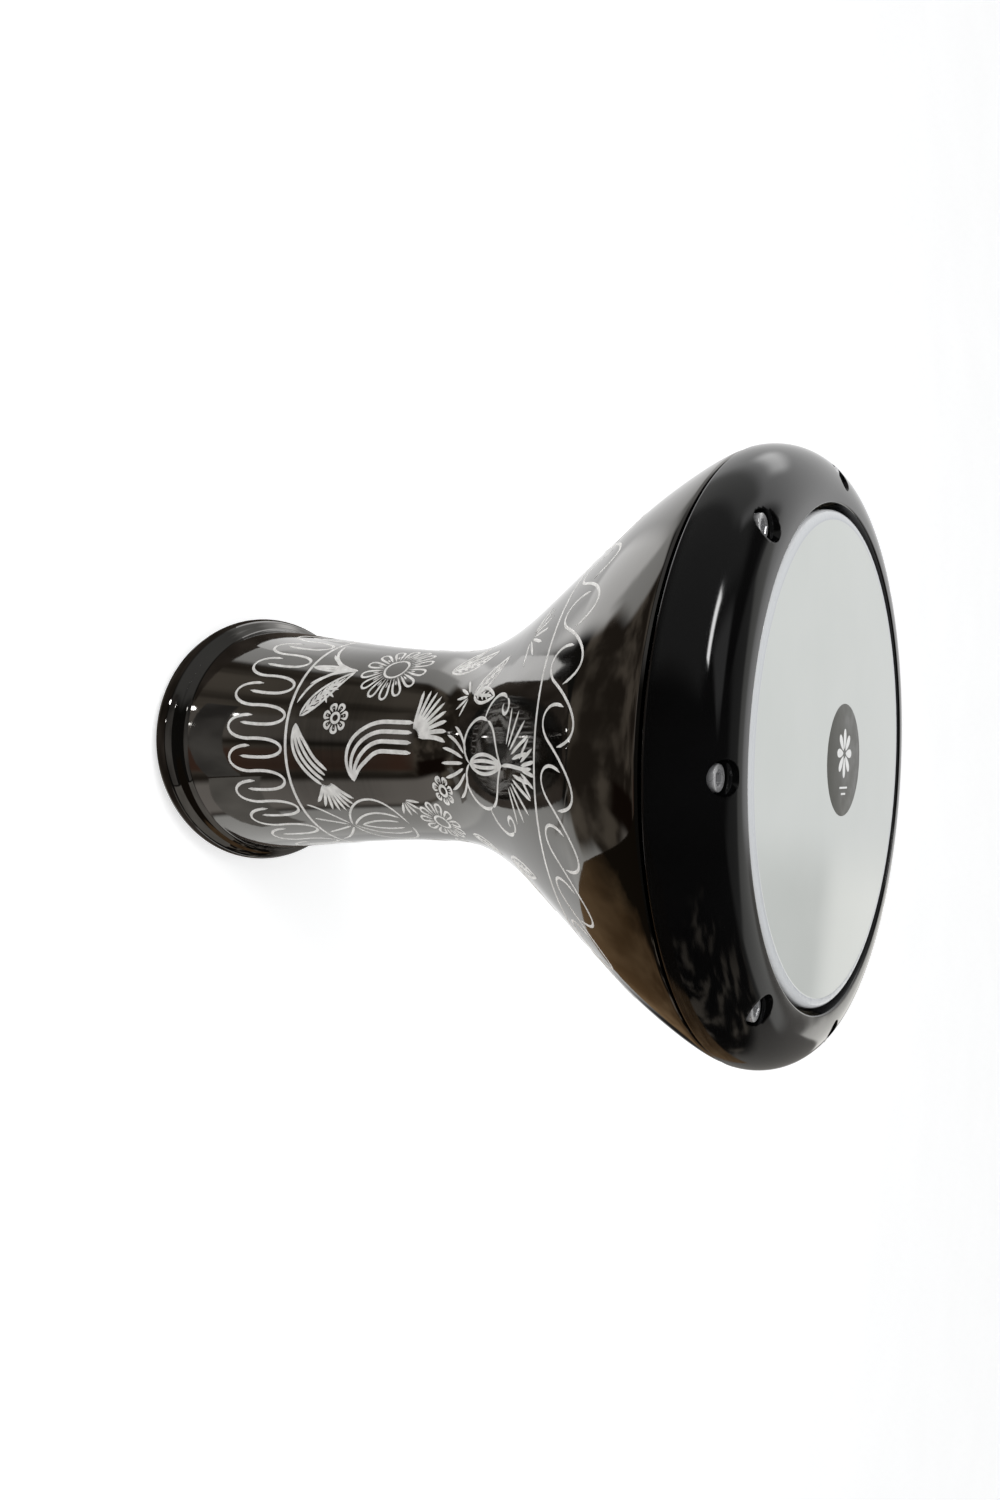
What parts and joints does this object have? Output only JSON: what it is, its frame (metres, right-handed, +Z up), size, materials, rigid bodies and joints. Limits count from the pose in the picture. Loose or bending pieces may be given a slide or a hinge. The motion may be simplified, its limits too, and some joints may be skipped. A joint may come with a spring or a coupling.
{
  "type": "darbuka",
  "caption": "Goblet hand drum: cast shell with a waisted neck and beaded foot, a flat film head and a rolled tension ring held by recessed socket screws.",
  "frame": {"origin": "centre of the foot plane, where the drum stands on its foot", "axes": "+Z up the drum's axis from the foot to the head; +Y is the side that the badge is offset towards; +X completes the frame"},
  "size_m": [0.28, 0.28, 0.43],
  "materials": {
    "shell_black": "cast aluminium with a mirror gloss black nickel coat",
    "ring_black": "cast aluminium under gloss black enamel",
    "screw_chrome": "bright zinc and chrome",
    "head_white": "smooth coated polyester film",
    "bright_aluminium": "bright cut aluminium",
    "resin": "cast epoxy",
    "badge_grey": "satin printed film"
  },
  "bodies": {
    "root": {"shell": "shell_black", "head_film": "head_white", "head_hoop": "bright_aluminium", "hoop_resin": "resin", "head_badge": "badge_grey"},
    "tension_ring": {"tension_ring": "ring_black", "screw_washer_1": "screw_chrome", "screw_washer_2": "screw_chrome", "screw_washer_3": "screw_chrome", "screw_washer_4": "screw_chrome", "screw_washer_5": "screw_chrome", "screw_washer_6": "screw_chrome", "screw_washer_7": "screw_chrome", "screw_washer_8": "screw_chrome"},
    "screw_1": {"tension_screw_1": "screw_chrome"},
    "screw_2": {"tension_screw_2": "screw_chrome"},
    "screw_3": {"tension_screw_3": "screw_chrome"},
    "screw_4": {"tension_screw_4": "screw_chrome"},
    "screw_5": {"tension_screw_5": "screw_chrome"},
    "screw_6": {"tension_screw_6": "screw_chrome"},
    "screw_7": {"tension_screw_7": "screw_chrome"},
    "screw_8": {"tension_screw_8": "screw_chrome"}
  },
  "joints": [
    {"name": "ring_travel", "type": "slide", "parent": "root", "child": "tension_ring", "axis": [0, 0, 1], "range_m": [0, 0.003]},
    {"name": "screw_turn_1", "type": "hinge", "parent": "tension_ring", "child": "screw_1", "pos_m": [0.12528, 0.00744, 0.42], "axis": [0, 0, 1], "range_deg": [0, 1080]},
    {"name": "screw_turn_2", "type": "hinge", "parent": "tension_ring", "child": "screw_2", "pos_m": [0.08332, 0.09385, 0.42], "axis": [0, 0, 1], "range_deg": [0, 1080]},
    {"name": "screw_turn_3", "type": "hinge", "parent": "tension_ring", "child": "screw_3", "pos_m": [-0.00744, 0.12528, 0.42], "axis": [0, 0, 1], "range_deg": [0, 1080]},
    {"name": "screw_turn_4", "type": "hinge", "parent": "tension_ring", "child": "screw_4", "pos_m": [-0.09385, 0.08332, 0.42], "axis": [0, 0, 1], "range_deg": [0, 1080]},
    {"name": "screw_turn_5", "type": "hinge", "parent": "tension_ring", "child": "screw_5", "pos_m": [-0.12528, -0.00744, 0.42], "axis": [0, 0, 1], "range_deg": [0, 1080]},
    {"name": "screw_turn_6", "type": "hinge", "parent": "tension_ring", "child": "screw_6", "pos_m": [-0.08332, -0.09385, 0.42], "axis": [0, 0, 1], "range_deg": [0, 1080]},
    {"name": "screw_turn_7", "type": "hinge", "parent": "tension_ring", "child": "screw_7", "pos_m": [0.00744, -0.12528, 0.42], "axis": [0, 0, 1], "range_deg": [0, 1080]},
    {"name": "screw_turn_8", "type": "hinge", "parent": "tension_ring", "child": "screw_8", "pos_m": [0.09385, -0.08332, 0.42], "axis": [0, 0, 1], "range_deg": [0, 1080]}
  ],
  "couplings": [
    {"joint": "screw_turn_1", "follows": "ring_travel", "rad_per_m": 6283.2},
    {"joint": "screw_turn_2", "follows": "ring_travel", "rad_per_m": 6283.2},
    {"joint": "screw_turn_3", "follows": "ring_travel", "rad_per_m": 6283.2},
    {"joint": "screw_turn_4", "follows": "ring_travel", "rad_per_m": 6283.2},
    {"joint": "screw_turn_5", "follows": "ring_travel", "rad_per_m": 6283.2},
    {"joint": "screw_turn_6", "follows": "ring_travel", "rad_per_m": 6283.2},
    {"joint": "screw_turn_7", "follows": "ring_travel", "rad_per_m": 6283.2},
    {"joint": "screw_turn_8", "follows": "ring_travel", "rad_per_m": 6283.2}
  ]
}
